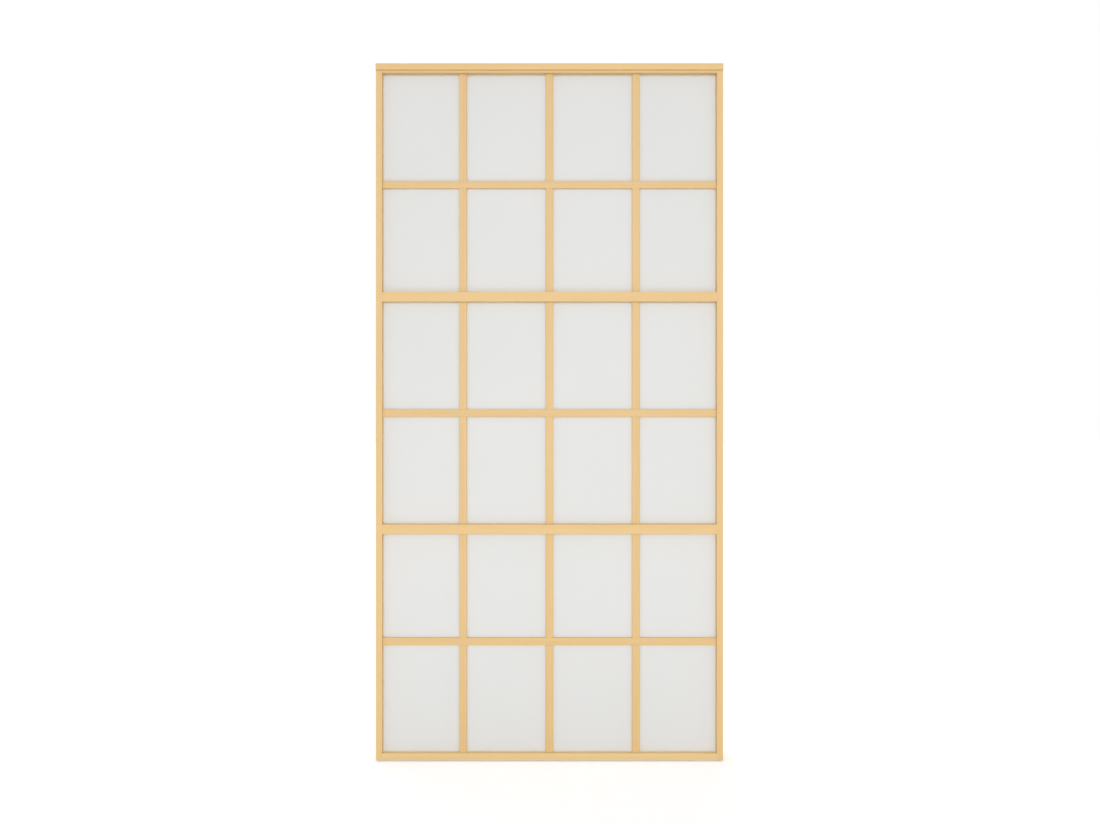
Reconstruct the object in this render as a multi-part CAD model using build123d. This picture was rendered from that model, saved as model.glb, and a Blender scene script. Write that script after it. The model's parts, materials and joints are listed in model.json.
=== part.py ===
"""Sliding glass door: a latticed glass leaf that slides across its frame on a concealed head gear.

Millimetres. X runs along the width, to the right seen from the front, Y from the front to the back and Z up.
The origin is on the floor, at the middle of the width and of the depth. The door is drawn closed.
"""

from build123d import *
import math
import os

# Leaf
LEAF_WIDTH = 1000.0
LEAF_HEIGHT = 2000.0
LEAF_DEPTH = 40.0
FLOOR_GAP = 4.0
STILE_FACE = 18.0
RAIL_FACE = 20.0
MID_RAIL_FACE = 28.0
MID_RAIL_OFFSET = 335.0
EXTRUSION_WALL = 1.6
EXTRUSION_EDGE = 0.8

# Glazing
GLASS_THICKNESS = 4.0
GLASS_BITE = 7.0
GROOVE_WIDTH = 9.0
GROOVE_DEPTH = 9.0
GASKET_LIP = 2.0
GASKET_LIP_RISE = 1.0

# Lattice
BAR_WIDTH = 22.0
BAR_THICKNESS = 8.0
BAR_EDGE = 0.6
BAR_FIT = 0.1
UPRIGHT_PITCH = 250.0
CROSSBAR_OFFSET = 660.0

# Floor guide
GUIDE_GROOVE_DEPTH = 7.0
GUIDE_SIDE_CLEARANCE = 0.5
GUIDE_TOP_CLEARANCE = 1.0
GUIDE_LENGTH = 50.0
GUIDE_END_MARGIN = 25.0
GUIDE_PLATE = 2.0
GUIDE_BEND = 1.0
GUIDE_HEIGHT = 18.0
GUIDE_CORNER = 3.0
GUIDE_PEG_RADIUS = 2.5
FIN_CORNER = 2.0

# Frame
LEAF_TO_FRAME = 4.0
JAMB_FACE = 20.0
SILL_HEIGHT = 20.0
HEAD_BOARD_THICKNESS = 10.0
SOFFIT_THICKNESS = 3.0
SOFFIT_BELOW_GEAR = 36.0
PELMET_WALL = 3.0
PELMET_DROP = 19.0
FASCIA_THICKNESS = 4.2
FASCIA_CLEARANCE = 0.8
PELMET_OVER_LEAF = 3.0
PELMET_EDGE = 2.0
END_CAP = 2.0
END_CAP_GAP = 2.0
SEAL_BASE_WIDTH = 6.0
SEAL_BASE_DEPTH = 2.0
SEAL_PILE_WIDTH = 3.0
FRAME_EDGE = 1.0

# Head gear
GEAR_BELOW_LEAF_TOP = 20.0
WHEEL_DIAMETER = 28.0
WHEEL_WIDTH = 10.0
WHEEL_REBATE_DEPTH = 1.6
WHEEL_REBATE_RADIUS = 10.5
WHEEL_BORE_CLEARANCE = 0.05
WHEEL_END_SETBACK = 30.0
WHEEL_MIDDLE_OFFSET = 20.0
RUN_CLEARANCE = 0.3
SIDE_CLEARANCE = 0.5
CHANNEL_WALL = 2.5
CHANNEL_LIP = 4.0
CHANNEL_LIP_THICKNESS = 2.0
BEAM_THICKNESS = 5.0
BEAM_HEIGHT = 20.0
BEAM_GAP = 2.5
BEAM_END_MARGIN = 16.0
AXLE_RADIUS = 4.0
AXLE_SHOULDER_RADIUS = 6.0
AXLE_HEAD_RADIUS = 6.5
AXLE_HEAD = 1.2
BEAM_TRAVEL = 450.0

# Rack and pinion that keep the beam at half the travel of the leaf
GEAR_MODULE = 2.0
PINION_TEETH = 14
PRESSURE_ANGLE = 20.0
TOOTH_ADDENDUM = 1.6
TOOTH_DEDENDUM = 2.0
TOOTH_THINNING = 0.2
PINION_WIDTH = 7.0
RACK_WIDTH = 8.0
RACK_BACKING = 4.0
RACK_OVERRUN = 20.0
PINION_BELOW_GEAR = 27.5
BRACKET_FOOT = 3.0
BRACKET_LENGTH = 28.0
BRACKET_FOOT_DEPTH = 21.0
STUD_END_GAP = 0.3

# Fasteners and fixing holes
CORNER_SCREW_RADIUS = 2.0
CORNER_SCREW_LENGTH = 32.0
CORNER_SCREW_HEAD_RADIUS = 3.8
CORNER_SCREW_HEAD = 2.4
CORNER_ACCESS_RADIUS = 4.3
CORNER_CAP_EDGE = 0.4
PORT_WEB = 7.2
SMALL_SCREW_RADIUS = 1.75
SMALL_SCREW_HEAD_RADIUS = 3.4
SMALL_SCREW_HEAD = CHANNEL_WALL
RAIL_SCREW_LENGTH = 10.0
CHANNEL_SCREW_END_MARGIN = 100.0
FRAME_SCREW_RADIUS = 2.5
FRAME_SCREW_HEAD_RADIUS = 4.8
FRAME_SCREW_HEAD = 2.6
FRAME_SCREW_LENGTH = 60.0
SOFFIT_SCREW_LENGTH = 18.0
GUIDE_SCREW_HEAD = 1.2
PELMET_SCREW_LENGTH = 20.0
COVER_SCREW_END_MARGIN = 150.0
FIXING_RADIUS = 3.25
FIXING_ACCESS_RADIUS = 6.5
HEAD_FIXING_END_MARGIN = 50.0
CAP_SCREW_OFFSET = 18.0
INNER_HEAD_FIXING_SPACING = 300.0
JAMB_FIXING_SPACING = 1640.0

# Depths, from the front to the back
channel_depth = CHANNEL_WALL + 2 * SIDE_CLEARANCE + WHEEL_WIDTH + CHANNEL_LIP_THICKNESS
gear_depth = 2 * channel_depth + 2 * BEAM_GAP + BEAM_THICKNESS
overall_depth = FASCIA_THICKNESS + FASCIA_CLEARANCE + LEAF_DEPTH + gear_depth + HEAD_BOARD_THICKNESS
pelmet_front = -overall_depth / 2
fascia_back = pelmet_front + FASCIA_THICKNESS
leaf_front = fascia_back + FASCIA_CLEARANCE
leaf_back = leaf_front + LEAF_DEPTH
leaf_middle_y = leaf_front + LEAF_DEPTH / 2
glass_front = leaf_middle_y - GLASS_THICKNESS / 2
glass_back = leaf_middle_y + GLASS_THICKNESS / 2
groove_y = (leaf_middle_y - GROOVE_WIDTH / 2, leaf_middle_y + GROOVE_WIDTH / 2)
frame_front = leaf_back + LEAF_TO_FRAME
frame_back = overall_depth / 2
board_front = frame_back - HEAD_BOARD_THICKNESS
beam_front = leaf_back + channel_depth + BEAM_GAP
beam_back = beam_front + BEAM_THICKNESS
beam_middle_y = (beam_front + beam_back) / 2

# Heights
leaf_bottom = FLOOR_GAP
leaf_top = leaf_bottom + LEAF_HEIGHT
leaf_middle_z = leaf_bottom + LEAF_HEIGHT / 2
pelmet_underside = leaf_top + PELMET_OVER_LEAF
frame_top = pelmet_underside + PELMET_WALL
gear_z = leaf_top - GEAR_BELOW_LEAF_TOP
channel_half = WHEEL_DIAMETER / 2 + RUN_CLEARANCE + CHANNEL_WALL
channel_underside = gear_z - channel_half
soffit_top = gear_z - SOFFIT_BELOW_GEAR
jamb_top = soffit_top - SOFFIT_THICKNESS
mid_rail_z = {"upper": leaf_middle_z + MID_RAIL_OFFSET, "lower": leaf_middle_z - MID_RAIL_OFFSET}
guide_groove_top = leaf_bottom + GUIDE_GROOVE_DEPTH

# Widths
half_width = LEAF_WIDTH / 2
rail_end = half_width - STILE_FACE
jamb_middle_x = half_width - JAMB_FACE / 2
wheel_end_x = half_width - WHEEL_END_SETBACK
fixed_channel_x = (-half_width + END_CAP, half_width)
leaf_channel_x = (-half_width + END_CAP + END_CAP_GAP, half_width)
beam_x = (-half_width + BEAM_END_MARGIN, half_width - BEAM_END_MARGIN)
channel_screw_x = (-half_width + CHANNEL_SCREW_END_MARGIN, 0.0, half_width - CHANNEL_SCREW_END_MARGIN)

# Clear openings of the leaf: low edge, high edge and the height of the crossbar
half_mid_rail = MID_RAIL_FACE / 2
sections = {
    "upper": (mid_rail_z["upper"] + half_mid_rail, leaf_top - RAIL_FACE, leaf_middle_z + CROSSBAR_OFFSET),
    "middle": (mid_rail_z["lower"] + half_mid_rail, mid_rail_z["upper"] - half_mid_rail, leaf_middle_z),
    "lower": (leaf_bottom + RAIL_FACE, mid_rail_z["lower"] - half_mid_rail, leaf_middle_z - CROSSBAR_OFFSET),
}
upright_places = {"left": -UPRIGHT_PITCH, "middle": 0.0, "right": UPRIGHT_PITCH}

# Front and back limbs of an extrusion, each side of the glazing groove, and the screw port in the back one
limbs_y = ((leaf_front, groove_y[0]), (groove_y[1], leaf_back))
port_y = (groove_y[1] + leaf_back) / 2

# The face inside a stile's inner wall, on which the corner screws' heads bear
screw_seat_x = rail_end + EXTRUSION_WALL


def block(x, y, z):
    """A rectangular solid between the low and high values on each axis."""
    size = [high - low for low, high in (x, y, z)]
    middle = [(high + low) / 2 for low, high in (x, y, z)]
    return Pos(*middle) * Box(*size)


def flat(u, v):
    """A rectangle in a sketch plane, between the low and high values of its two directions."""
    return Pos((u[0] + u[1]) / 2, (v[0] + v[1]) / 2) * Rectangle(u[1] - u[0], v[1] - v[0])


def along_x(section, x):
    """Extrudes a Y-Z section from the low to the high X."""
    return extrude(Plane.YZ.offset(x[0]) * section, x[1] - x[0])


def along_z(section, z):
    """Extrudes an X-Y section from the low to the high Z."""
    return extrude(Plane.XY.offset(z[0]) * section, z[1] - z[0])


def round_bar(at, direction, radius, length):
    """A cylinder that starts at a point and runs along a direction."""
    return extrude(Plane(origin=at, z_dir=direction) * Circle(radius), length)


def flush_screw(at, direction, radius, length, head_radius, head):
    """A countersunk screw: its head is flush with the point, and it runs along the direction."""
    outline = Polyline((0, 0), (head_radius, 0), (radius, head), (radius, length), (0, length), close=True)
    turned = revolve(make_face(Plane.XZ * outline), Axis.Z)
    return Plane(origin=at, z_dir=direction) * turned


def cheese_screw(at, direction, radius, length, head_radius, head):
    """A screw with a cylindrical head that bears at the point, and runs along the direction."""
    back = [-step for step in direction]
    return round_bar(at, direction, radius, length) + round_bar(at, back, head_radius, head)


def small_screw(at, direction, length):
    """Place and size of one of the small countersunk screws."""
    return (at, direction, SMALL_SCREW_RADIUS, length, SMALL_SCREW_HEAD_RADIUS, SMALL_SCREW_HEAD)


def group(solids):
    """Like separate solids in one node."""
    return Compound(children=list(solids))


# Leaf frame


def corner_screw_spots():
    """Height and depth of every corner screw: one in the back limb at each rail's end."""
    half_rail = RAIL_FACE / 2
    heights = (leaf_top - half_rail, mid_rail_z["upper"], mid_rail_z["lower"], leaf_bottom + half_rail)
    return [(port_y, z) for z in heights]


def right_stile():
    """Full-height extrusion with a glazing groove on its inner side and a hollow chamber round the groove."""
    wall = EXTRUSION_WALL
    chamber_x = (rail_end + GROOVE_DEPTH + wall, half_width - wall)
    section = fillet(flat((rail_end, half_width), (leaf_front, leaf_back)).vertices(), EXTRUSION_EDGE)
    section -= flat((rail_end, rail_end + GROOVE_DEPTH), groove_y)
    section -= flat(chamber_x, (leaf_front + wall, leaf_back - wall))
    for limb in limbs_y:
        section -= flat((screw_seat_x, chamber_x[0]), (limb[0] + wall, limb[1] - wall))
    stile = along_z(section, (leaf_bottom, leaf_top))
    stile -= block((rail_end, half_width), groove_y, (leaf_bottom, guide_groove_top))
    for y, z in corner_screw_spots():
        stile -= corner_access(y, z)
        stile -= round_bar((screw_seat_x, y, z), (-1, 0, 0), CORNER_SCREW_RADIUS, EXTRUSION_WALL)
    return stile


def corner_access(y, z):
    """The hole in the right stile's outer wall through which a corner screw is driven."""
    return round_bar((half_width, y, z), (-1, 0, 0), CORNER_ACCESS_RADIUS, EXTRUSION_WALL)


def corner_caps():
    """Caps that close those holes flush with both stiles' outer sides, with a chamfered rim."""
    holes = [corner_access(y, z) for y, z in corner_screw_spots()]
    right = [chamfer(hole.edges().sort_by(Axis.X)[-1], CORNER_CAP_EDGE) for hole in holes]
    return group(right + [mirror(cap, about=Plane.YZ) for cap in right])


def corner_screws():
    """The screws through both stiles into the rails' ports."""
    size = (CORNER_SCREW_RADIUS, CORNER_SCREW_LENGTH, CORNER_SCREW_HEAD_RADIUS, CORNER_SCREW_HEAD)
    right = [cheese_screw((screw_seat_x, y, z), (-1, 0, 0), *size) for y, z in corner_screw_spots()]
    left = [cheese_screw((-screw_seat_x, y, z), (1, 0, 0), *size) for y, z in corner_screw_spots()]
    return group(left + right)


def rail(z, face, groove_above, groove_below):
    """Extruded rail between the stiles, with a groove above or below, and a screw port in its back limb."""
    low, high = z - face / 2, z + face / 2
    section = fillet(flat((leaf_front, leaf_back), (low, high)).vertices(), EXTRUSION_EDGE)
    section -= flat(groove_y, (high - groove_above, high)) if groove_above else []
    section -= flat(groove_y, (low, low + groove_below)) if groove_below else []
    wall = EXTRUSION_WALL
    for limb in limbs_y:
        chamber_y = (limb[0] + wall, limb[1] - wall)
        section -= flat(chamber_y, (low + wall, z - PORT_WEB / 2))
        section -= flat(chamber_y, (z + PORT_WEB / 2, high - wall))
    section -= Pos(port_y, z) * Circle(CORNER_SCREW_RADIUS)
    return along_x(section, (-rail_end, rail_end))


def top_rail():
    """The rail that carries the leaf: the leaf channel is screwed to its back."""
    solid = rail(leaf_top - RAIL_FACE / 2, RAIL_FACE, 0, GROOVE_DEPTH)
    for x in channel_screw_x:
        solid -= flush_screw(*leaf_channel_screw(x))
    return solid


# Glazing


def pane(low, high):
    """The glass of one section, held by its edges in the grooves."""
    x = (-rail_end - GLASS_BITE, rail_end + GLASS_BITE)
    return block(x, (glass_front, glass_back), (low - GLASS_BITE, high + GLASS_BITE))


def frame_ring(low, high, outside, inside, y):
    """A rectangular ring round one section: it reaches outside and inside the clear opening's edge."""
    outer = block((-rail_end - outside, rail_end + outside), y, (low - outside, high + outside))
    return outer - block((-rail_end + inside, rail_end - inside), y, (low + inside, high - inside))


def gasket_lips(low, high, fit=0.0):
    """The part of the gasket that shows beside the frame."""
    rise = GASKET_LIP_RISE + fit
    return frame_ring(low, high, 0.0, GASKET_LIP + fit, (glass_front - rise, glass_back + rise))


def gasket(low, high):
    """U-section rubber that wraps the edge of the glass and fills the groove."""
    seated = frame_ring(low, high, GROOVE_DEPTH, 0.0, groove_y)
    return seated + gasket_lips(low, high) - pane(low, high)


# Lattice


def bar_y():
    """Front and back of the lattice bars, which lie on the front of the glass."""
    return (glass_front - BAR_THICKNESS, glass_front)


def bar(x, z, half_lap_y, crossings, long_axis):
    """A lattice bar with eased front edges, half-lapped at its crossings."""
    solid = block(x, bar_y(), z)
    front = solid.faces().sort_by(Axis.Y)[0]
    solid = chamfer(front.edges().filter_by(long_axis), BAR_EDGE)
    for crossing_x, crossing_z in crossings:
        solid -= block(crossing_x, half_lap_y, crossing_z)
    return solid


def upright(centre, low, high, crossbar_z):
    """A vertical bar, notched in front where the crossbar passes and rebated over the gasket's lip."""
    x = (centre - BAR_WIDTH / 2, centre + BAR_WIDTH / 2)
    notch_z = (crossbar_z - BAR_WIDTH / 2, crossbar_z + BAR_WIDTH / 2)
    lap = (bar_y()[0], bar_y()[0] + BAR_THICKNESS / 2)
    return bar(x, (low, high), lap, [(x, notch_z)], Axis.Z) - gasket_lips(low, high, BAR_FIT)


def crossbar(low, high, centre):
    """A horizontal bar, notched behind where the uprights pass and rebated over the gasket's lip."""
    z = (centre - BAR_WIDTH / 2, centre + BAR_WIDTH / 2)
    lap = (bar_y()[1] - BAR_THICKNESS / 2, bar_y()[1])
    notches = [((x - BAR_WIDTH / 2, x + BAR_WIDTH / 2), z) for x in upright_places.values()]
    return bar((-rail_end, rail_end), z, lap, notches, Axis.X) - gasket_lips(low, high, BAR_FIT)


# Head gear


def channel(x, web_y, facing):
    """Lipped channel, open towards +Y (facing 1) or -Y (facing -1), with its web against web_y."""
    inner = channel_half - CHANNEL_WALL
    depth = (0, channel_depth)
    section = flat(depth, (-channel_half, channel_half))
    section -= flat((CHANNEL_WALL, channel_depth - CHANNEL_LIP_THICKNESS), (-inner, inner))
    section -= flat((CHANNEL_WALL, channel_depth), (-inner + CHANNEL_LIP, inner - CHANNEL_LIP))
    if facing < 0:
        section = mirror(section, about=Plane.YZ)
    return along_x(Pos(web_y, gear_z) * section, x)


def leaf_channel_screw(x):
    """Place and size of a screw that holds the leaf channel on the top rail."""
    at = (x, leaf_back + CHANNEL_WALL, leaf_top - RAIL_FACE / 2)
    return small_screw(at, (0, -1, 0), RAIL_SCREW_LENGTH)


def fixed_channel_screw(x):
    """Place and size of a screw that holds the fixed channel on the head board."""
    return small_screw((x, board_front - CHANNEL_WALL, gear_z), (0, 1, 0), RAIL_SCREW_LENGTH)


def leaf_channel():
    """The channel on the back of the top rail, which rests on the two front wheels."""
    solid = channel(leaf_channel_x, leaf_back, 1)
    for x in channel_screw_x:
        solid -= flush_screw(*leaf_channel_screw(x))
    return solid


def fixed_channel():
    """The channel on the head board, in which the two back wheels run."""
    solid = channel(fixed_channel_x, board_front, -1)
    for x in channel_screw_x:
        solid -= flush_screw(*fixed_channel_screw(x))
    web_front = board_front - CHANNEL_WALL
    for x in head_fixing_places():
        solid -= round_bar((x, web_front, gear_z), (0, 1, 0), FIXING_ACCESS_RADIUS, CHANNEL_WALL)
    return solid


def stop(x, web_y, facing):
    """Rubber plug in the end of a channel, which a wheel meets at the end of its travel."""
    inner = channel_half - CHANNEL_WALL
    y = sorted((web_y + facing * CHANNEL_WALL, web_y + facing * (channel_depth - CHANNEL_LIP_THICKNESS)))
    return block(x, y, (gear_z - inner, gear_z + inner))


def stop_face():
    """How far the face of each stop is from the middle of its channel."""
    return wheel_end_x + WHEEL_DIAMETER / 2 + RUN_CLEARANCE


def wheel_sides(facing):
    """Outer and inner face of a wheel in the front (facing -1) or back (facing 1) channel."""
    from_beam = BEAM_GAP + CHANNEL_LIP_THICKNESS + SIDE_CLEARANCE
    face = beam_front if facing < 0 else beam_back
    inner = face + facing * from_beam
    return inner + facing * WHEEL_WIDTH, inner


def wheel(x, facing):
    """Nylon wheel with a rebated outer face, in which the head of its axle lies."""
    _, inner = wheel_sides(facing)
    radius = WHEEL_DIAMETER / 2
    bore = AXLE_RADIUS + WHEEL_BORE_CLEARANCE
    rebate_z = WHEEL_WIDTH - WHEEL_REBATE_DEPTH
    outline = Polyline(
        (bore, 0),
        (radius, 0),
        (radius, WHEEL_WIDTH),
        (WHEEL_REBATE_RADIUS, WHEEL_WIDTH),
        (WHEEL_REBATE_RADIUS, rebate_z),
        (bore, rebate_z),
        close=True,
    )
    turned = revolve(make_face(Plane.XZ * outline), Axis.Z)
    return Plane(origin=(x, inner, gear_z), z_dir=(0, facing, 0)) * turned


def axle(x, facing):
    """Stepped pin, riveted in the beam: a shoulder keeps the wheel off the beam, a head keeps it on."""
    outer, inner = wheel_sides(facing)
    face, back = (beam_front, beam_back) if facing < 0 else (beam_back, beam_front)
    away = (0, facing, 0)
    head_start = outer - facing * WHEEL_REBATE_DEPTH + facing * STUD_END_GAP
    shoulder_length = abs(inner - face) - STUD_END_GAP
    pin = round_bar((x, back, gear_z), away, AXLE_RADIUS, abs(head_start - back) + AXLE_HEAD)
    pin += round_bar((x, face, gear_z), away, AXLE_SHOULDER_RADIUS, shoulder_length)
    return pin + round_bar((x, head_start, gear_z), away, AXLE_HEAD_RADIUS, AXLE_HEAD)


wheel_places = {
    "front_left_wheel": (-WHEEL_MIDDLE_OFFSET, -1),
    "front_right_wheel": (wheel_end_x, -1),
    "back_left_wheel": (-wheel_end_x, 1),
    "back_right_wheel": (WHEEL_MIDDLE_OFFSET, 1),
}


def carriage_beam():
    """Flat bar between the channels: its front wheels carry the leaf, its back wheels run in the frame."""
    solid = block(beam_x, (beam_front, beam_back), (gear_z - BEAM_HEIGHT / 2, gear_z + BEAM_HEIGHT / 2))
    solid = fillet(solid.edges().filter_by(Axis.Y), BEAM_HEIGHT / 2 - FRAME_EDGE)
    for x, _ in wheel_places.values():
        solid -= round_bar((x, beam_front, gear_z), (0, 1, 0), AXLE_RADIUS, BEAM_THICKNESS)
    return solid


# Rack and pinion

pitch_radius = GEAR_MODULE * PINION_TEETH / 2
tooth_pitch = math.pi * GEAR_MODULE
pinion_z = gear_z - PINION_BELOW_GEAR
foot_underside = pinion_z + PINION_WIDTH / 2 + STUD_END_GAP


def involute(radius, base_radius):
    """The involute function at a radius, in radians."""
    roll = math.sqrt(max((radius / base_radius) ** 2 - 1, 0.0))
    return roll - math.atan(roll)


def pinion():
    """Spur pinion with involute flanks. One tooth points to each rack when the door is closed."""
    base_radius = pitch_radius * math.cos(math.radians(PRESSURE_ANGLE))
    tip_radius = pitch_radius + TOOTH_ADDENDUM
    root_radius = pitch_radius - TOOTH_DEDENDUM
    half_at_pitch = (tooth_pitch / 2 - TOOTH_THINNING) / 2 / pitch_radius
    half_at_base = half_at_pitch + involute(pitch_radius, base_radius)

    def place(radius, angle):
        return radius * math.cos(angle), radius * math.sin(angle)

    def flank(centre, side):
        radii = (base_radius, (base_radius + tip_radius) / 2, tip_radius)
        return [place(r, centre + side * (half_at_base - involute(r, base_radius))) for r in radii]

    edges = []
    step = 2 * math.pi / PINION_TEETH
    for tooth in range(PINION_TEETH):
        centre = -math.pi / 2 + tooth * step
        rising, falling = flank(centre, -1), flank(centre, 1)
        root_in = place(root_radius, centre - half_at_base)
        root_out = place(root_radius, centre + half_at_base)
        next_root = place(root_radius, centre + step - half_at_base)
        edges += [
            Line(root_in, rising[0]),
            ThreePointArc(*rising),
            Line(rising[2], falling[2]),
            ThreePointArc(*reversed(falling)),
            Line(falling[0], root_out),
            Line(root_out, next_root),
        ]
    section = make_face(Wire(edges)) - Circle(AXLE_RADIUS + WHEEL_BORE_CLEARANCE)
    low = pinion_z - PINION_WIDTH / 2
    return along_z(Pos(0, beam_middle_y) * section, (low, low + PINION_WIDTH))


def rack(x, pitch_y, facing, back_y):
    """Rack with straight-flanked teeth towards facing. A gap of it lies opposite the pinion when closed."""
    slope = math.tan(math.radians(PRESSURE_ANGLE))
    half_at_pitch = (tooth_pitch / 2 - TOOTH_THINNING) / 2
    half_at_tip = half_at_pitch - TOOTH_ADDENDUM * slope
    half_at_root = half_at_pitch + TOOTH_DEDENDUM * slope
    tip_y = pitch_y + facing * TOOTH_ADDENDUM
    root_y = pitch_y - facing * TOOTH_DEDENDUM
    first = math.ceil(x[0] / tooth_pitch)
    last = math.floor(x[1] / tooth_pitch)
    points = [(x[0], back_y), (x[0], root_y)]
    for tooth in range(first, last):
        middle = (tooth + 0.5) * tooth_pitch
        points += [(middle - half_at_root, root_y), (middle - half_at_tip, tip_y)]
        points += [(middle + half_at_tip, tip_y), (middle + half_at_root, root_y)]
    points += [(x[1], root_y), (x[1], back_y)]
    section = make_face(Polyline(*points, close=True))
    return along_z(section, (pinion_z - RACK_WIDTH / 2, pinion_z + RACK_WIDTH / 2))


def fixed_rack():
    """The rack on the head board, behind the pinion."""
    x = (-RACK_OVERRUN, BEAM_TRAVEL + RACK_OVERRUN)
    return rack(x, beam_middle_y + pitch_radius, -1, board_front)


def leaf_rack():
    """The rack under the leaf channel, in front of the pinion, with a foot up to the channel."""
    x = (-BEAM_TRAVEL - RACK_OVERRUN, RACK_OVERRUN)
    root_y = beam_middle_y - pitch_radius - TOOTH_DEDENDUM
    back_y = root_y - RACK_BACKING
    toothed = rack(x, beam_middle_y - pitch_radius, 1, back_y)
    return toothed + block(x, (back_y, root_y), (pinion_z, channel_underside))


def pinion_bracket():
    """Tee-shaped bracket welded under the beam: its foot carries the stud of the pinion."""
    x = (-BRACKET_LENGTH / 2, BRACKET_LENGTH / 2)
    foot_y = (beam_middle_y - BRACKET_FOOT_DEPTH / 2, beam_middle_y + BRACKET_FOOT_DEPTH / 2)
    foot = block(x, foot_y, (foot_underside, foot_underside + BRACKET_FOOT))
    tab = block(x, (beam_front, beam_back), (foot_underside, gear_z - BEAM_HEIGHT / 2))
    return foot + tab - round_bar((0, beam_middle_y, foot_underside), (0, 0, 1), AXLE_RADIUS, BRACKET_FOOT)


def pinion_stud():
    """Pin through the bracket's foot, with a head under the pinion."""
    head_top = pinion_z - PINION_WIDTH / 2 - STUD_END_GAP
    top = foot_underside + BRACKET_FOOT
    pin = round_bar((0, beam_middle_y, head_top), (0, 0, 1), AXLE_RADIUS, top - head_top)
    return pin + round_bar((0, beam_middle_y, head_top), (0, 0, -1), AXLE_HEAD_RADIUS, AXLE_HEAD)


# Fixed frame


def head_fixing_places():
    """Where the fixings into the wall pass through the head board."""
    outer = half_width - HEAD_FIXING_END_MARGIN
    return [side * x for x in (outer, INNER_HEAD_FIXING_SPACING / 2) for side in (-1, 1)]


def jamb_fixing_places():
    """Heights at which the fixings into the wall pass through a jamb."""
    middle = (SILL_HEIGHT + jamb_top) / 2
    return [middle + side * JAMB_FIXING_SPACING / 2 for side in (-1, 1)]


def cover_screw_places():
    """Where the pelmet and the soffit are screwed to the head board."""
    return (-half_width + COVER_SCREW_END_MARGIN, half_width - COVER_SCREW_END_MARGIN)


def pelmet_screw(x):
    """Place and size of a screw down through the pelmet into the head board."""
    at = (x, (board_front + frame_back) / 2, frame_top)
    return small_screw(at, (0, 0, -1), PELMET_SCREW_LENGTH)


def soffit_screw(x):
    """Place and size of a screw up through the soffit into the head board."""
    at = (x, (board_front + frame_back) / 2, jamb_top)
    return small_screw(at, (0, 0, 1), SOFFIT_SCREW_LENGTH)


def cap_screw(side):
    """Place and size of a screw through the end cap into the head board's end, above or below the gear."""
    z = (soffit_top + pelmet_underside) / 2 + side * CAP_SCREW_OFFSET
    at = (-half_width, (board_front + frame_back) / 2, z)
    return small_screw(at, (1, 0, 0), PELMET_SCREW_LENGTH)


def sill_screw(side):
    """Place and size of a screw up through the sill into a jamb."""
    at = (side * jamb_middle_x, (frame_front + frame_back) / 2, 0)
    return (at, (0, 0, 1), FRAME_SCREW_RADIUS, FRAME_SCREW_LENGTH, FRAME_SCREW_HEAD_RADIUS, FRAME_SCREW_HEAD)


def lintel_screw(side):
    """Place and size of a screw down through the soffit into a jamb."""
    at = (side * jamb_middle_x, (frame_front + board_front) / 2, soffit_top)
    return (at, (0, 0, -1), FRAME_SCREW_RADIUS, FRAME_SCREW_LENGTH, FRAME_SCREW_HEAD_RADIUS, FRAME_SCREW_HEAD)


def head_pelmet():
    """Angle profile over the leaf: a fascia in front and a cover on top, with rounded outer edges."""
    section = flat((pelmet_front, frame_back), (pelmet_underside, frame_top))
    section += flat((pelmet_front, fascia_back), (frame_top - PELMET_DROP, frame_top))
    front_corners = section.vertices().group_by(Axis.X)[0]
    section = fillet(front_corners, PELMET_EDGE)
    solid = along_x(section, (-half_width, half_width))
    for x in cover_screw_places():
        solid -= flush_screw(*pelmet_screw(x))
    return solid


def head_board():
    """The board that is fixed to the wall over the doorway and carries the whole gear."""
    board_x = (-half_width + END_CAP, half_width)
    solid = block(board_x, (board_front, frame_back), (soffit_top, pelmet_underside))
    for x in channel_screw_x:
        solid -= flush_screw(*fixed_channel_screw(x))
    for x in cover_screw_places():
        solid -= flush_screw(*pelmet_screw(x)) + flush_screw(*soffit_screw(x))
    for x in head_fixing_places():
        solid -= round_bar((x, board_front, gear_z), (0, 1, 0), FIXING_RADIUS, HEAD_BOARD_THICKNESS)
    for side in (-1, 1):
        solid -= flush_screw(*cap_screw(side))
    return solid


def soffit():
    """Thin board on the jambs, under the gear."""
    solid = block((-half_width, half_width), (frame_front, frame_back), (jamb_top, soffit_top))
    for x in cover_screw_places():
        solid -= flush_screw(*soffit_screw(x))
    for side in (-1, 1):
        solid -= flush_screw(*lintel_screw(side))
    return solid


def right_jamb():
    """Side of the doorway, with a groove for the seal in its front and holes for the wall fixings."""
    section = flat((half_width - JAMB_FACE, half_width), (frame_front, frame_back))
    section = fillet(section.vertices(), FRAME_EDGE)
    half_base = SEAL_BASE_WIDTH / 2
    base_x = (jamb_middle_x - half_base, jamb_middle_x + half_base)
    section -= flat(base_x, (frame_front, frame_front + SEAL_BASE_DEPTH))
    solid = along_z(section, (SILL_HEIGHT, jamb_top))
    middle_y = (frame_front + frame_back) / 2
    for z in jamb_fixing_places():
        solid -= round_bar((half_width, middle_y, z), (-1, 0, 0), FIXING_RADIUS, JAMB_FACE)
    return solid - flush_screw(*sill_screw(1)) - flush_screw(*lintel_screw(1))


def right_seal():
    """Brush seal in the jamb: its pile ends just short of the leaf's back."""
    half_base = SEAL_BASE_WIDTH / 2
    half_pile = SEAL_PILE_WIDTH / 2
    base_y = (frame_front, frame_front + SEAL_BASE_DEPTH)
    pile_y = (leaf_back + RUN_CLEARANCE, base_y[1])
    section = flat((jamb_middle_x - half_base, jamb_middle_x + half_base), base_y)
    section += flat((jamb_middle_x - half_pile, jamb_middle_x + half_pile), pile_y)
    return along_z(section, (SILL_HEIGHT, jamb_top))


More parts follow.
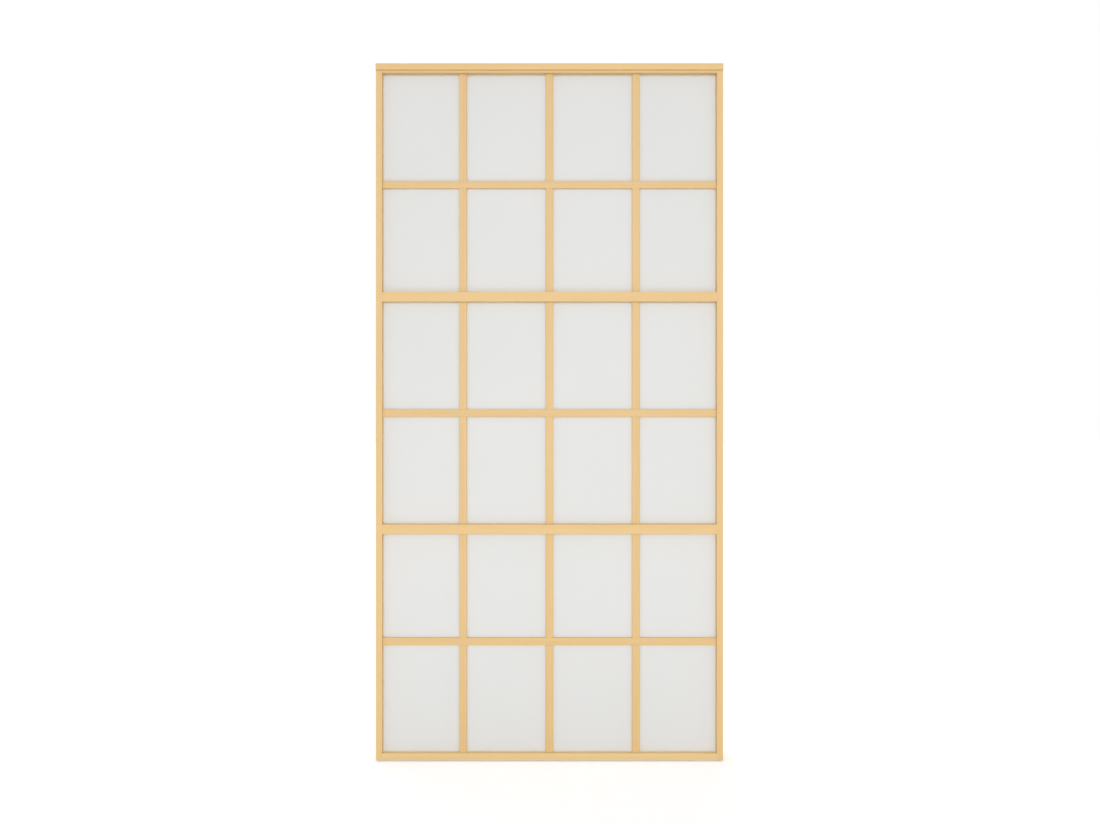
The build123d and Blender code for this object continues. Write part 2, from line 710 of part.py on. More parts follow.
def sill():
    """The threshold, under both jambs."""
    section = flat((frame_front, frame_back), (0, SILL_HEIGHT))
    section = fillet(section.vertices().group_by(Axis.Y)[-1], FRAME_EDGE)
    solid = along_x(section, (-half_width, half_width))
    for side in (-1, 1):
        solid -= flush_screw(*sill_screw(side))
    for x in guide_screw_places():
        solid -= guide_screw_hole(x)
    return solid


def end_cap():
    """Plate that closes the left end of the gear's space, screwed to the end of the head board."""
    cap_x = (-half_width, -half_width + END_CAP)
    solid = block(cap_x, (frame_front, frame_back), (soffit_top, pelmet_underside))
    for side in (-1, 1):
        solid -= flush_screw(*cap_screw(side))
    return solid


# Floor guide

guide_x = (half_width - GUIDE_END_MARGIN - GUIDE_LENGTH, half_width - GUIDE_END_MARGIN)
guide_fin_y = (groove_y[0] + GUIDE_SIDE_CLEARANCE, groove_y[1] - GUIDE_SIDE_CLEARANCE)


def guide_screw_places():
    """Where the guide is screwed to the front of the sill."""
    quarter = GUIDE_LENGTH / 4
    return (guide_x[0] + quarter, guide_x[1] - quarter)


def guide_screw(x):
    """Place and size of a screw through the guide's flange into the sill."""
    at = (x, frame_front - GUIDE_PLATE, (GUIDE_PLATE + GUIDE_HEIGHT) / 2)
    return (at, (0, 1, 0), SMALL_SCREW_RADIUS, SOFFIT_SCREW_LENGTH, SMALL_SCREW_HEAD_RADIUS, GUIDE_SCREW_HEAD)


def guide_screw_hole(x):
    """The hole that a guide screw fills in the flange and the sill."""
    at, direction, radius, length = guide_screw(x)[:4]
    return round_bar(at, direction, radius, length)


def guide_peg(x):
    """A peg under the fin, through the foot of the bracket."""
    return round_bar((x, leaf_middle_y, 0), (0, 0, 1), GUIDE_PEG_RADIUS, GUIDE_PLATE)


def guide_bracket():
    """Bent plate: its foot lies on the floor under the leaf, its flange is screwed to the sill's front."""
    flange_front = frame_front - GUIDE_PLATE
    section = flat((guide_fin_y[0], frame_front), (0, GUIDE_PLATE))
    section += flat((flange_front, frame_front), (0, GUIDE_HEIGHT))
    section = fillet(section.vertices().sort_by_distance((frame_front, 0))[0], GUIDE_BEND + GUIDE_PLATE)
    section = fillet(section.vertices().sort_by_distance((flange_front, GUIDE_PLATE))[0], GUIDE_BEND)
    solid = along_x(section, guide_x)
    solid = fillet(solid.edges().filter_by(Axis.Y).group_by(Axis.Z)[-1], GUIDE_CORNER)
    solid = fillet(solid.edges().filter_by(Axis.Z).group_by(Axis.Y)[0], FIN_CORNER)
    for x in guide_screw_places():
        solid -= guide_screw_hole(x) + guide_peg(x)
    return solid


def guide_fin():
    """Nylon fin that runs in the groove under the leaf, held in the bracket by two pegs."""
    fin = block(guide_x, guide_fin_y, (GUIDE_PLATE, guide_groove_top - GUIDE_TOP_CLEARANCE))
    fin = fillet(fin.edges().filter_by(Axis.Z), FIN_CORNER)
    for x in guide_screw_places():
        fin += guide_peg(x)
    return fin


# Assembly


def leaf_pieces():
    """The pieces that slide with the leaf."""
    stile = right_stile()
    pieces = {
        "left_stile": mirror(stile, about=Plane.YZ),
        "right_stile": stile,
        "top_rail": top_rail(),
        "bottom_rail": rail(leaf_bottom + RAIL_FACE / 2, RAIL_FACE, GROOVE_DEPTH, GUIDE_GROOVE_DEPTH),
        "corner_screws": corner_screws(),
        "corner_caps": corner_caps(),
        "leaf_channel": leaf_channel(),
        "leaf_channel_screws": group(flush_screw(*leaf_channel_screw(x)) for x in channel_screw_x),
        "leaf_rack": leaf_rack(),
        "leaf_left_stop": stop((leaf_channel_x[0], -stop_face()), leaf_back, 1),
        "leaf_right_stop": stop((stop_face(), leaf_channel_x[1]), leaf_back, 1),
    }
    for name, z in mid_rail_z.items():
        pieces[name + "_mid_rail"] = rail(z, MID_RAIL_FACE, GROOVE_DEPTH, GROOVE_DEPTH)
    for name, (low, high, crossbar_z) in sections.items():
        pieces[name + "_glass"] = pane(low, high)
        pieces[name + "_gasket"] = gasket(low, high)
        pieces[name + "_crossbar"] = crossbar(low, high, crossbar_z)
        for side, x in upright_places.items():
            pieces[name + "_" + side + "_upright"] = upright(x, low, high, crossbar_z)
    return pieces


def carriage_pieces():
    """The beam with what is fixed to it, and the wheels and the pinion that turn on it."""
    pieces = {
        "carriage_beam": carriage_beam(),
        "wheel_axles": group(axle(x, facing) for x, facing in wheel_places.values()),
        "pinion_bracket": pinion_bracket(),
        "pinion_stud": pinion_stud(),
        "pinion": pinion(),
    }
    for name, (x, facing) in wheel_places.items():
        pieces[name] = wheel(x, facing)
    return pieces


def frame_pieces():
    """The pieces that stay on the wall and the floor."""
    jamb = right_jamb()
    seal = right_seal()
    sill_and_lintel = [place(side) for place in (sill_screw, lintel_screw) for side in (-1, 1)]
    cover = [place(x) for place in (pelmet_screw, soffit_screw) for x in cover_screw_places()]
    cover += [cap_screw(side) for side in (-1, 1)]
    return {
        "head_pelmet": head_pelmet(),
        "head_board": head_board(),
        "soffit": soffit(),
        "left_jamb": mirror(jamb, about=Plane.YZ),
        "right_jamb": jamb,
        "left_seal": mirror(seal, about=Plane.YZ),
        "right_seal": seal,
        "sill": sill(),
        "end_cap": end_cap(),
        "fixed_channel": fixed_channel(),
        "fixed_channel_screws": group(flush_screw(*fixed_channel_screw(x)) for x in channel_screw_x),
        "fixed_rack": fixed_rack(),
        "fixed_left_stop": stop((fixed_channel_x[0], -stop_face()), board_front, -1),
        "fixed_right_stop": stop((stop_face(), fixed_channel_x[1]), board_front, -1),
        "frame_screws": group(flush_screw(*spot) for spot in sill_and_lintel),
        "cover_screws": group(flush_screw(*spot) for spot in cover),
        "guide_bracket": guide_bracket(),
        "guide_fin": guide_fin(),
        "guide_screws": group(cheese_screw(*guide_screw(x)) for x in guide_screw_places()),
    }


os.makedirs("parts", exist_ok=True)
for node, solid in {**leaf_pieces(), **carriage_pieces(), **frame_pieces()}.items():
    export_step(solid, f"parts/{node}.step")
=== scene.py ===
"""Sliding glass door: a pale wood-tone leaf with a lattice over white satin glass, before its frame."""

import json
import math
import random

import bmesh
import bpy
from mathutils import Matrix, Vector


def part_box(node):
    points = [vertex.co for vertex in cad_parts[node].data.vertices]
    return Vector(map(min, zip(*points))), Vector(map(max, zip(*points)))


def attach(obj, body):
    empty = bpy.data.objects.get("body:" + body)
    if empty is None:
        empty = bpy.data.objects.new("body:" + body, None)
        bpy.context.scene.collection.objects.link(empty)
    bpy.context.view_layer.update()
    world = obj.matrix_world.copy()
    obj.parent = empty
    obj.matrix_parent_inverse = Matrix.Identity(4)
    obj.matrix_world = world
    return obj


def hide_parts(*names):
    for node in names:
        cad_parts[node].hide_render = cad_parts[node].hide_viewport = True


# Metres
EYE = (0.0015, -3.043, 1.007)
FILL_SIZE = (3.4, 0.36)
FLOOR_REACH = 30.0
HEAD_EDGE = 0.00025
THIN_SHANK, MIDDLE_SHANK, THICK_SHANK = 0.00175, 0.002, 0.0025
SEAL_BACKING = 0.002
SEAL_END = 0.001
SEAL_ROUNDING = 0.0004
TUFT_PITCH = 0.0011
TUFT_ROW_PITCH = 0.00095
TUFT_FOOT, TUFT_TIP = 0.00048, 0.00022
TUFT_LEAN = 0.0005
TUFT_STRAY = 0.0001

# Millimetres
LENS = 34.098
SENSOR_WIDTH = 36.0

# Light: strengths, and the floor's grey
SKY_STRENGTH = 0.60
FLOOR_PAINT = 0.8
FLOOR_GLOW = 0.44

# Screws: cells along the head; the rest as shares of the radius or reach they belong to
HEAD_CELLS = 7
ON_RIM = 0.999
RECESS_REACH = 0.62
RECESS_DEPTH = 0.9
RECESS_TAPER = 0.62
SLOT_HALF_WIDTH = 0.25
TIP_LENGTH = 1.6
TIP_WIDTH = 0.12

# Brush seals
SEAL_RUNS = 25
PILE_PATTERNS = 4
SHORTEST_TUFT = 0.9
PLACE_STRAY = 0.2

# Wood grain, as cycles per metre across the grain and along it
BANDS = (55, 1.6)
FIBRES = (900, 14)
PORES = (2200, 60)

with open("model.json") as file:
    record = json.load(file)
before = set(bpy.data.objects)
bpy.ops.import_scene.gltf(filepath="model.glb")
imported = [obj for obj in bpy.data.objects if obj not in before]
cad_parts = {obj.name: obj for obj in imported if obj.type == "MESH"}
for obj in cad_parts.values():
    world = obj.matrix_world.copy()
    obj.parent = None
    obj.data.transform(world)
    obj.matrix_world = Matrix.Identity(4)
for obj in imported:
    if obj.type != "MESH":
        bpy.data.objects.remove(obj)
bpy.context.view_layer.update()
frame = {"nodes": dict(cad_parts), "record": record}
record = frame["record"]
slot_of = {part["node"]: part["material_slot"] for part in record["subparts"]}
body_of = {node: body for body, nodes in record["behaviour"]["bodies"].items() for node in nodes}


# Camera and light


def add_camera():
    """Eye at the middle of the leaf's height, three metres in front of it."""
    data = bpy.data.cameras.new("front_camera")
    data.sensor_fit = "HORIZONTAL"
    data.sensor_width = SENSOR_WIDTH
    data.lens = LENS
    camera = bpy.data.objects.new("front_camera", data)
    camera.location = EYE
    camera.rotation_euler = (math.radians(90), 0, 0)
    bpy.context.scene.collection.objects.link(camera)
    bpy.context.scene.camera = camera


def add_sun(name, strength, spread, toward):
    """A broad soft lamp whose light travels along a direction."""
    data = bpy.data.lights.new(name, "SUN")
    data.energy = strength
    data.angle = math.radians(spread)
    lamp = bpy.data.objects.new(name, data)
    lamp.rotation_euler = Vector(toward).to_track_quat("-Z", "Y").to_euler()
    lamp.location = -3.0 * Vector(toward)
    bpy.context.scene.collection.objects.link(lamp)


def add_fill(name, power, at, target):
    """A wide panel lamp that faces a point."""
    data = bpy.data.lights.new(name, "AREA")
    data.shape = "RECTANGLE"
    data.size, data.size_y = FILL_SIZE
    data.energy = power
    lamp = bpy.data.objects.new(name, data)
    lamp.location = at
    lamp.rotation_euler = (Vector(target) - Vector(at)).to_track_quat("-Z", "Y").to_euler()
    bpy.context.scene.collection.objects.link(lamp)


def seen_directly(nodes, links):
    """1 for the rays that show a background: camera, mirror and glass rays."""
    path = nodes.new("ShaderNodeLightPath")
    reflected = nodes.new("ShaderNodeMath")
    reflected.operation = "MAXIMUM"
    links.new(path.outputs["Is Camera Ray"], reflected.inputs[0])
    links.new(path.outputs["Is Glossy Ray"], reflected.inputs[1])
    seen = nodes.new("ShaderNodeMath")
    seen.operation = "MAXIMUM"
    links.new(reflected.outputs[0], seen.inputs[0])
    links.new(path.outputs["Is Transmission Ray"], seen.inputs[1])
    return seen.outputs[0]


def light_studio():
    """White surroundings, an even sky for the soft light, a key lamp in front, one behind, and a low fill."""
    world = bpy.data.worlds.new("white_studio")
    world.use_nodes = True
    bpy.context.scene.world = world
    nodes, links = world.node_tree.nodes, world.node_tree.links
    nodes.clear()
    sky = nodes.new("ShaderNodeBackground")
    sky.inputs["Color"].default_value = (1, 1, 1, 1)
    sky.inputs["Strength"].default_value = SKY_STRENGTH
    white = nodes.new("ShaderNodeBackground")
    white.inputs["Color"].default_value = (1, 1, 1, 1)
    white.inputs["Strength"].default_value = 1.0
    mix = nodes.new("ShaderNodeMixShader")
    out = nodes.new("ShaderNodeOutputWorld")
    links.new(seen_directly(nodes, links), mix.inputs[0])
    links.new(sky.outputs[0], mix.inputs[1])
    links.new(white.outputs[0], mix.inputs[2])
    links.new(mix.outputs[0], out.inputs["Surface"])
    add_sun("key_lamp", strength=0.97, spread=26, toward=(-0.02, 0.98, -0.14))
    add_sun("back_lamp", strength=0.9, spread=60, toward=(0.2, -0.8, -0.5))
    add_fill("floor_fill", power=5.7, at=(0, -1.7, 0.22), target=(0, 0, 0.1))


def add_floor():
    """Pale studio floor, white where nothing shades it."""
    mesh = bpy.data.meshes.new("studio_floor")
    shape = bmesh.new()
    bmesh.ops.create_grid(shape, x_segments=1, y_segments=1, size=FLOOR_REACH)
    shape.to_mesh(mesh)
    shape.free()
    floor = bpy.data.objects.new("studio_floor", mesh)
    bpy.context.scene.collection.objects.link(floor)
    material = bpy.data.materials.new("studio_white")
    material.use_nodes = True
    nodes, links = material.node_tree.nodes, material.node_tree.links
    nodes.clear()
    paint = nodes.new("ShaderNodeBsdfDiffuse")
    paint.inputs["Color"].default_value = (FLOOR_PAINT, FLOOR_PAINT, FLOOR_PAINT, 1)
    glow = nodes.new("ShaderNodeEmission")
    scale = nodes.new("ShaderNodeMath")
    scale.operation = "MULTIPLY"
    scale.inputs[1].default_value = FLOOR_GLOW
    links.new(seen_directly(nodes, links), scale.inputs[0])
    links.new(scale.outputs[0], glow.inputs["Strength"])
    both = nodes.new("ShaderNodeAddShader")
    out = nodes.new("ShaderNodeOutputMaterial")
    links.new(paint.outputs[0], both.inputs[0])
    links.new(glow.outputs[0], both.inputs[1])
    links.new(both.outputs[0], out.inputs["Surface"])
    mesh.materials.append(material)


# Finishes


def start_finish(name, roughness, metallic=0.0):
    """A new material with its shader, and the object's own coordinates to pattern it by."""
    material = bpy.data.materials.new(name)
    material.use_nodes = True
    nodes, links = material.node_tree.nodes, material.node_tree.links
    shader = nodes["Principled BSDF"]
    shader.inputs["Roughness"].default_value = roughness
    shader.inputs["Metallic"].default_value = metallic
    place = nodes.new("ShaderNodeTexCoord").outputs["Object"]
    return material, nodes, links, shader, place


def streaks(nodes, links, place, stretch, detail=4.0, roughness=0.55, distortion=0.0):
    """Noise drawn out by a different frequency on each axis, in cycles per metre."""
    mapping = nodes.new("ShaderNodeMapping")
    mapping.inputs["Scale"].default_value = stretch
    links.new(place, mapping.inputs["Vector"])
    noise = nodes.new("ShaderNodeTexNoise")
    noise.inputs["Scale"].default_value = 1.0
    noise.inputs["Detail"].default_value = detail
    noise.inputs["Roughness"].default_value = roughness
    noise.inputs["Distortion"].default_value = distortion
    links.new(mapping.outputs[0], noise.inputs["Vector"])
    return noise.outputs["Fac"]


def ramp(nodes, links, value, stops):
    """Colours along a value, given as (position, (red, green, blue))."""
    node = nodes.new("ShaderNodeValToRGB")
    node.color_ramp.elements[0].position = stops[0][0]
    node.color_ramp.elements[0].color = (*stops[0][1], 1)
    node.color_ramp.elements[1].position = stops[-1][0]
    node.color_ramp.elements[1].color = (*stops[-1][1], 1)
    for position, colour in stops[1:-1]:
        node.color_ramp.elements.new(position).color = (*colour, 1)
    links.new(value, node.inputs["Fac"])
    return node.outputs["Color"]


def spread(nodes, links, value, low, high):
    """The value's middle range mapped to a low and a high number."""
    node = nodes.new("ShaderNodeMapRange")
    node.inputs["From Min"].default_value = 0.3
    node.inputs["From Max"].default_value = 0.7
    node.inputs["To Min"].default_value = low
    node.inputs["To Max"].default_value = high
    links.new(value, node.inputs["Value"])
    return node.outputs["Result"]


def multiply(nodes, links, first, second):
    """Two colours multiplied."""
    node = nodes.new("ShaderNodeMix")
    node.data_type = "RGBA"
    node.blend_type = "MULTIPLY"
    node.inputs["Factor"].default_value = 1.0
    links.new(first, node.inputs["A"])
    links.new(second, node.inputs["B"])
    return node.outputs["Result"]


def raise_surface(nodes, links, shader, height, strength, distance):
    """Bump from a height."""
    node = nodes.new("ShaderNodeBump")
    node.inputs["Strength"].default_value = strength
    node.inputs["Distance"].default_value = distance
    links.new(height, node.inputs["Height"])
    links.new(node.outputs[0], shader.inputs["Normal"])


def along(axis, across, lengthwise):
    """Frequencies for a grain that runs along one axis."""
    return tuple(lengthwise if step == axis else across for step in "XYZ")


def evenly(frequency):
    """The same frequency on every axis."""
    return (frequency, frequency, frequency)


def wood_finish(name, axis, tones, contrast, pores):
    """Pale wood: broad annual bands, fine fibre streaks and short pores, all along one axis."""
    material, nodes, links, shader, place = start_finish(name, 0.42)
    bands = streaks(nodes, links, place, along(axis, *BANDS), 3.0, 0.5, 0.6)
    base = ramp(nodes, links, bands, tones)
    fibres = streaks(nodes, links, place, along(axis, *FIBRES), 5.0, 0.6)
    low, high = 1.0 - contrast, 1.0
    shade = ramp(nodes, links, fibres, [(0.32, (low, low * 0.995, low * 0.985)), (0.62, (high, high, high))])
    toned = multiply(nodes, links, base, shade)
    pore_lines = streaks(nodes, links, place, along(axis, *PORES), 2.0, 0.5)
    dark = 1.0 - pores
    pits = ramp(nodes, links, pore_lines, [(0.28, (dark, dark * 0.98, dark * 0.95)), (0.36, (1, 1, 1))])
    links.new(multiply(nodes, links, toned, pits), shader.inputs["Base Color"])
    links.new(spread(nodes, links, fibres, 0.36, 0.48), shader.inputs["Roughness"])
    raise_surface(nodes, links, shader, fibres, 0.12, 0.0002)
    return material


def glass_finish():
    """White glass etched to a satin: a faint cloud in its tone and a fine frost."""
    material, nodes, links, shader, place = start_finish("white_satin_glass", 0.45)
    cloud = streaks(nodes, links, place, evenly(2.2), 2.0)
    tones = [(0.3, (0.768, 0.773, 0.761)), (0.7, (0.786, 0.784, 0.770))]
    links.new(ramp(nodes, links, cloud, tones), shader.inputs["Base Color"])
    frost = streaks(nodes, links, place, evenly(1500), 3.0)
    links.new(spread(nodes, links, frost, 0.40, 0.52), shader.inputs["Roughness"])
    shader.inputs["Transmission Weight"].default_value = 0.05
    shader.inputs["IOR"].default_value = 1.5
    raise_surface(nodes, links, shader, frost, 0.08, 0.0001)
    return material


def gasket_finish():
    """Pale beige extruded rubber with faint die lines."""
    material, nodes, links, shader, place = start_finish("beige_gasket", 0.7)
    bloom = streaks(nodes, links, place, evenly(70), 3.0)
    tones = [(0.3, (0.72, 0.605, 0.435)), (0.7, (0.775, 0.665, 0.49))]
    links.new(ramp(nodes, links, bloom, tones), shader.inputs["Base Color"])
    links.new(spread(nodes, links, bloom, 0.62, 0.78), shader.inputs["Roughness"])
    fine = streaks(nodes, links, place, evenly(1200), 2.0)
    raise_surface(nodes, links, shader, fine, 0.15, 0.0001)
    return material


def beige_plastic_finish():
    """Moulded plastic caps tinted to match the wood, with a fine spark-eroded texture."""
    material, nodes, links, shader, place = start_finish("beige_plastic", 0.5)
    flow = streaks(nodes, links, place, evenly(40), 3.0)
    tones = [(0.3, (0.70, 0.455, 0.18)), (0.7, (0.735, 0.485, 0.20))]
    links.new(ramp(nodes, links, flow, tones), shader.inputs["Base Color"])
    links.new(spread(nodes, links, flow, 0.44, 0.56), shader.inputs["Roughness"])
    fine = streaks(nodes, links, place, evenly(2600), 2.0)
    raise_surface(nodes, links, shader, fine, 0.12, 0.0001)
    return material


def rubber_finish():
    """Matt black rubber of the buffers."""
    material, nodes, links, shader, place = start_finish("black_rubber", 0.75)
    bloom = streaks(nodes, links, place, evenly(160), 4.0)
    tones = [(0.3, (0.018, 0.018, 0.019)), (0.7, (0.035, 0.034, 0.033))]
    links.new(ramp(nodes, links, bloom, tones), shader.inputs["Base Color"])
    links.new(spread(nodes, links, bloom, 0.66, 0.84), shader.inputs["Roughness"])
    raise_surface(nodes, links, shader, bloom, 0.2, 0.0002)
    return material


def pile_finish():
    """Grey polypropylene bristles, a little lighter and darker from tuft to tuft."""
    material, nodes, links, shader, place = start_finish("grey_pile", 0.6)
    tufts = streaks(nodes, links, place, evenly(600), 2.0)
    tones = [(0.3, (0.12, 0.118, 0.112)), (0.5, (0.2, 0.196, 0.188)), (0.7, (0.3, 0.295, 0.28))]
    links.new(ramp(nodes, links, tufts, tones), shader.inputs["Base Color"])
    links.new(spread(nodes, links, tufts, 0.5, 0.7), shader.inputs["Roughness"])
    shader.inputs["Sheen Weight"].default_value = 0.3
    shader.inputs["Sheen Roughness"].default_value = 0.4
    return material


def zinc_finish():
    """Bright zinc plate: fine mottled spangle and drawn lines."""
    material, nodes, links, shader, place = start_finish("zinc_plate", 0.34, 1.0)
    spangle = streaks(nodes, links, place, evenly(130), 3.0)
    tones = [(0.3, (0.50, 0.515, 0.54)), (0.7, (0.62, 0.63, 0.645))]
    links.new(ramp(nodes, links, spangle, tones), shader.inputs["Base Color"])
    drawn = streaks(nodes, links, place, along("X", 1500, 30), 3.0)
    links.new(spread(nodes, links, drawn, 0.26, 0.42), shader.inputs["Roughness"])
    raise_surface(nodes, links, shader, drawn, 0.08, 0.0001)
    return material


def aluminium_finish():
    """Satin anodised extrusion with die lines along its length."""
    material, nodes, links, shader, place = start_finish("anodised_aluminium", 0.4, 1.0)
    lines = streaks(nodes, links, place, along("X", 1700, 4), 4.0)
    tones = [(0.3, (0.53, 0.535, 0.545)), (0.7, (0.62, 0.625, 0.63))]
    links.new(ramp(nodes, links, lines, tones), shader.inputs["Base Color"])
    links.new(spread(nodes, links, lines, 0.34, 0.46), shader.inputs["Roughness"])
    raise_surface(nodes, links, shader, lines, 0.1, 0.0001)
    return material


def nylon_finish():
    """Natural moulded nylon, waxy and slightly cloudy."""
    material, nodes, links, shader, place = start_finish("natural_nylon", 0.42)
    cloud = streaks(nodes, links, place, evenly(90), 3.0)
    tones = [(0.3, (0.70, 0.685, 0.61)), (0.7, (0.79, 0.775, 0.71))]
    links.new(ramp(nodes, links, cloud, tones), shader.inputs["Base Color"])
    links.new(spread(nodes, links, cloud, 0.36, 0.5), shader.inputs["Roughness"])
    shader.inputs["Subsurface Weight"].default_value = 0.15
    shader.inputs["Subsurface Radius"].default_value = (0.002, 0.002, 0.0015)
    fine = streaks(nodes, links, place, evenly(900), 2.0)
    raise_surface(nodes, links, shader, fine, 0.08, 0.0001)
    return material


wrap_tones = [(0.3, (0.774, 0.516, 0.208)), (0.5, (0.794, 0.533, 0.219)), (0.7, (0.806, 0.546, 0.229))]
bar_tones = [(0.3, (0.746, 0.498, 0.210)), (0.5, (0.766, 0.515, 0.221)), (0.7, (0.781, 0.530, 0.233))]
# Bottom rail tones: the wrap's tones painted paler, a painted brightening that makes up for the weaker light near
# the floor
foot_tones_painted_bright = [(0.3, (0.789, 0.562, 0.248)), (0.5, (0.809, 0.580, 0.260)), (0.7, (0.821, 0.594, 0.272))]
upright_wrap = wood_finish("upright_wood_wrap", "Z", wrap_tones, 0.035, 0.05)
level_wrap = wood_finish("level_wood_wrap", "X", wrap_tones, 0.035, 0.05)
foot_wrap_painted_bright = wood_finish("foot_wood_wrap_painted_bright", "X", foot_tones_painted_bright, 0.035, 0.05)
upright_bar = wood_finish("upright_lattice_wood", "Z", bar_tones, 0.05, 0.07)
level_bar = wood_finish("level_lattice_wood", "X", bar_tones, 0.05, 0.07)
upright_frame = wood_finish("upright_frame_wood", "Z", wrap_tones, 0.05, 0.08)
level_frame = wood_finish("level_frame_wood", "X", wrap_tones, 0.05, 0.08)

finishes = {
    "satin_glass": glass_finish(),
    "beige_plastic": beige_plastic_finish(),
    "gasket": gasket_finish(),
    "stop_rubber": rubber_finish(),
    "brush_pile": pile_finish(),
    "zinc_steel": zinc_finish(),
    "aluminium": aluminium_finish(),
    "nylon": nylon_finish(),
}
wood_by_slot = {
    "wood_wrap": (upright_wrap, level_wrap),
    "lattice": (upright_bar, level_bar),
    "frame_wood": (upright_frame, level_frame),
}


def finish_for(node):
    """The finish of a CAD node. Wood grain follows the longer way of the piece; the bottom rail is painted paler,
    a painted brightening that makes up for the weaker light near the floor.
    """
    # The bottom rail gets the painted-paler tones, which stand in for light near the floor
    if node == "bottom_rail":
        return foot_wrap_painted_bright
    slot = slot_of[node]
    if slot not in wood_by_slot:
        return finishes[slot]
    low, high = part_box(node)
    return wood_by_slot[slot][0 if high.z - low.z > high.x - low.x else 1]


def dress_cad_nodes():
    for node, piece in frame["nodes"].items():
        piece.data.materials.clear()
        piece.data.materials.append(finish_for(node))


# Pieces that take the place of plain solids


def islands(node):
    """The separate solids in a CAD node, as (lowest corner, highest corner)."""
    shape = bmesh.new()
    shape.from_mesh(frame["nodes"][node].data)
    bmesh.ops.remove_doubles(shape, verts=shape.verts, dist=1e-6)
    boxes, left = [], set(shape.verts)
    while left:
        seen = [left.pop()]
        for vert in seen:
            for edge in vert.link_edges:
                other = edge.other_vert(vert)
                if other in left:
                    left.discard(other)
                    seen.append(other)
        boxes.append(tuple(Vector(pick(v.co[k] for v in seen) for k in range(3)) for pick in (min, max)))
    shape.free()
    return sorted(boxes, key=lambda b: tuple(round(c, 4) for c in b[0]))


def make_piece(name, shape, material, slot, body, *stands_for):
    """Turns a finished bmesh into a piece that rides on a body."""
    mesh = bpy.data.meshes.new(name)
    bmesh.ops.recalc_face_normals(shape, faces=shape.faces)
    shape.to_mesh(mesh)
    shape.free()
    piece = bpy.data.objects.new(name, mesh)
    bpy.context.scene.collection.objects.link(piece)
    mesh.materials.append(material)
    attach(piece, body)
    if stands_for:
        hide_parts(*stands_for)
    return piece


def add_screw(shape, outline, recess, at, direction):
    """A turned screw with a cross recess.

    The outline runs from the head's rim down the shank, as (radius, depth).
    """
    head_radius = outline[0][0]
    grid = bmesh.ops.create_grid(shape, x_segments=HEAD_CELLS, y_segments=HEAD_CELLS, size=head_radius)
    made = grid["verts"]
    top = set(made)
    rim = [v for v in made if max(abs(v.co.x), abs(v.co.y)) > head_radius * ON_RIM]
    pitch = 2 * head_radius / HEAD_CELLS
    for v in made:
        ring = max(abs(v.co.x), abs(v.co.y))
        if ring > pitch * 2:
            v.co = v.co.normalized() * ring
    faces = {f for v in made for f in v.link_faces}
    cross = [f for f in faces if is_in_cross(f.calc_center_median(), recess)]
    pit = bmesh.ops.extrude_face_region(shape, geom=cross)["geom"]
    floor_verts = [g for g in pit if isinstance(g, bmesh.types.BMVert)]
    bmesh.ops.translate(shape, verts=floor_verts, vec=(0, 0, -recess * RECESS_DEPTH))
    for v in floor_verts:
        v.co.x *= RECESS_TAPER
        v.co.y *= RECESS_TAPER
    bmesh.ops.delete(shape, geom=cross, context="FACES_ONLY")
    made = made + floor_verts
    edges = [e for v in rim for e in v.link_edges if e.is_boundary and all(w in top for w in e.verts)]
    edges = list(set(edges))
    last = outline[0]
    for radius, depth in outline[1:]:
        grown = bmesh.ops.extrude_edge_only(shape, edges=edges)["geom"]
        verts = [g for g in grown if isinstance(g, bmesh.types.BMVert)]
        factor = radius / last[0]
        for v in verts:
            v.co.x *= factor
            v.co.y *= factor
        bmesh.ops.translate(shape, verts=verts, vec=(0, 0, last[1] - depth))
        made += verts
        edges = [g for g in grown if isinstance(g, bmesh.types.BMEdge) and g.is_boundary]
        last = (radius, depth)
    bmesh.ops.holes_fill(shape, edges=edges, sides=0)
    turn = Vector(direction).to_track_quat("-Z", "Y").to_matrix().to_4x4()
    bmesh.ops.transform(shape, matrix=Matrix.Translation(at) @ turn, verts=made)


def is_in_cross(centre, recess):
    """Whether a cell of the head belongs to the two crossed slots."""
    near, far = sorted((abs(centre.x), abs(centre.y)))
    return near < recess * SLOT_HALF_WIDTH and far < recess


def screw_ends(box, direction):
    """Start and length of a screw that fills a box and points along a direction."""
    low, high = box
    axis = [abs(round(c)) for c in direction].index(1)
    start = (low + high) / 2
    start[axis] = low[axis] if direction[axis] > 0 else high[axis]
    return start, high[axis] - low[axis]


def screw_group(name, node, directions, shank, countersunk, head):
    """Every screw of a CAD group, with a cross recess and a drilling tip."""
    shape = bmesh.new()
    for box, direction in zip(islands(node), directions):
        start, length = screw_ends(box, direction)
        sizes = [high - low for low, high in zip(*box)]
        radius = sorted(sizes)[1] / 2
        outline = [(radius - HEAD_EDGE, 0.0), (radius, HEAD_EDGE)]
        rim_depth = HEAD_EDGE * 1.5 if countersunk else head
        outline += [(radius, rim_depth), (shank, head)]
        outline += [(shank, length - shank * TIP_LENGTH), (shank * TIP_WIDTH, length)]
        add_screw(shape, outline, radius * RECESS_REACH, start, direction)
    return make_piece(name, shape, finishes["zinc_steel"], "zinc_steel", body_of[node], node)


def side_directions(node):
    """Screws driven in from both sides point to the middle of the width."""
    return [(-1, 0, 0) if low.x > 0 else (1, 0, 0) for low, high in islands(node)]


def cover_directions(node):
    """The screws of the pelmet point down, those of the soffit up, those of the end cap along the board."""
    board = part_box("head_board")
    directions = []
    for low, high in islands(node):
        if high.x - low.x > high.z - low.z:
            directions.append((1, 0, 0))
        else:
            directions.append((0, 0, -1) if high.z > board[1].z else (0, 0, 1))
    return directions


def frame_directions(node):
    """The screws of the sill point up into the jambs, those of the soffit down."""
    return [(0, 0, 1) if low.z < 1.0 else (0, 0, -1) for low, high in islands(node)]


def all_toward(direction):
    """For a group whose screws all point the same way."""
    return lambda node: [direction] * len(islands(node))


